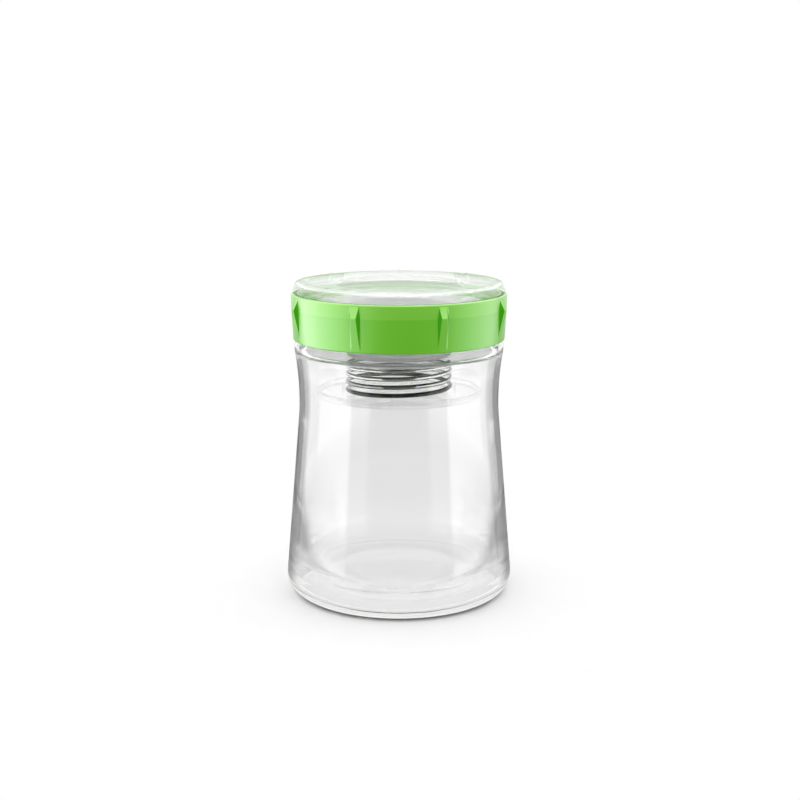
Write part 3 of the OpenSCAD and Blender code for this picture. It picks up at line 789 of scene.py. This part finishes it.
# What the glass and the clear plastic mirror.
SOFT, FRONT_SIDE = 0.05, (-130, 125)
BACK_LIGHT, BACK_DARK, GAP_BAND, GAP_SIDE = 0.95, 0.35, (-0.36, -0.3, -0.17, -0.145), (-174, 174)
FRONT_DARK, FRONT_PANELS, PANEL_LIGHT, PANEL_GAP = 0.05, ((-60, -36), (36, 70)), 1.3, 0.12
LOW_LIGHT, LOW_RISE, TOP_LIGHT, TOP_RISE = 0.8, (-0.55, -0.45), 1.2, (0.4, 0.5)
STRIP_LIGHT, STRIP_BAND, STRIP_SIDE = 3.4, (0.08, 0.18, 0.28, 0.4), (-125, 120)
BOX_HEIGHT, GLASS_BOXES, BOX_SIDE = (-0.66, 0.7), ((-127, -56), (57, 121)), (60, 122)
BOX_LIGHT, BOX_FAR, BOX_INNER = 3.2, 1.1, 1.4
LID_DARK, LID_RISE = 0.05, (0.2, 0.35)

# What the wire and the satin ring mirror: for each box its side, its band and its light.
SATIN_BOXES = (-1, (10, 90, 124, 130), 4.3), (1, (30, 95, 122, 128), 2.5)
SATIN_FRONT, SATIN_FRONT_RISE, SATIN_TOP, SATIN_TOP_RISE = 0.35, (-0.24, -0.1), 4, (0.35, 0.6)
LOW_DARK, LOW_DARK_RISE = 0.1, (-0.4, -0.25)

world = bpy.data.worlds.new("studio")
bpy.context.scene.world = world
world.use_nodes = True
studio = Nodes(world.node_tree)
aim = studio.add(
    "ShaderNodeSeparateXYZ", None, {"Vector": studio.add("ShaderNodeTexCoord")["Generated"]}
)
height = aim["Z"]
bearing = aim.math("ARCTAN2", aim["X"], aim["Y"] * -1)


def inside(value, low, high):
    """1 between low and high, with soft edges."""
    return studio.band(value, low - SOFT, low + SOFT, high - SOFT, high + SOFT)


def facing(low, high):
    """1 for the directions between two bearings in degrees; 0 is the camera's side."""
    return inside(bearing, math.radians(low), math.radians(high))


def blended(under, over, share):
    """One light over another, by a share from 0 to 1."""
    return under + share * (over - under)


paths = studio.add("ShaderNodeLightPath")
crossings = paths["Transmission Depth"] + paths["Transparent Depth"]
inner = studio.counted(crossings)
in_jar = studio.counted(crossings, 3)
front = facing(*FRONT_SIDE)
tall = inside(height, *BOX_HEIGHT)
back = blended(BACK_LIGHT, BACK_DARK, studio.band(height, *GAP_BAND) * facing(*GAP_SIDE))

panels = blended(PANEL_GAP, PANEL_LIGHT, sum(facing(*panel) for panel in FRONT_PANELS))
room = blended(back, blended(FRONT_DARK, panels, inner), front)
room = blended(room, LOW_LIGHT, (1 - studio.step(height, *LOW_RISE)) * (1 - inner))
room = blended(room, TOP_LIGHT, studio.step(height, *TOP_RISE))
strip = studio.band(height, *STRIP_BAND) * (1 - facing(*STRIP_SIDE)) * (1 - in_jar)
room = blended(room, STRIP_LIGHT, strip)
off_front = studio.step(bearing.math("ABSOLUTE", bearing, 0), *map(math.radians, BOX_SIDE))
box_light = blended(blended(BOX_LIGHT, BOX_FAR, off_front), BOX_INNER, inner)
in_gloss = blended(room, box_light, tall * sum(facing(*box) for box in GLASS_BOXES))

satin_front = studio.step(height, *SATIN_FRONT_RISE) * (1 - in_jar) * SATIN_FRONT
in_sheen = blended(back, satin_front, front)
for side, span, light in SATIN_BOXES:
    across_box = studio.band(bearing * side, *map(math.radians, span))
    in_sheen = blended(in_sheen, light, tall * across_box)
in_sheen = blended(in_sheen, SATIN_TOP, studio.step(height, *SATIN_TOP_RISE))
in_sheen = blended(in_sheen, LOW_DARK, in_jar * (1 - studio.step(height, *LOW_DARK_RISE)))

mirrored = blended(in_sheen, in_gloss, paths["Is Singular Ray"])
mirrored = blended(mirrored, LID_DARK, in_jar * studio.step(height, *LID_RISE))
through = blended(THROUGH_LOW, THROUGH_HIGH, studio.step(height, *THROUGH_RISE))
seen = blended(through, mirrored, studio.counted(paths["Glossy Depth"]))
plain = blended(ROOM_LIGHT, ROOM_FRONT, facing(*ROOM_SIDE))
plain = blended(plain, ROOM_TOP, studio.step(height, *ROOM_RISE))
lit = blended(plain, seen, studio.counted(paths["Is Glossy Ray"] + paths["Is Transmission Ray"]))
background = world.node_tree.nodes["Background"]
studio.feed(background.inputs["Strength"], blended(lit, 1, paths["Is Camera Ray"]))
studio.feed(background.inputs["Color"], (1, 1, 1, 1))

bpy.context.scene.view_settings.view_transform = "Standard"
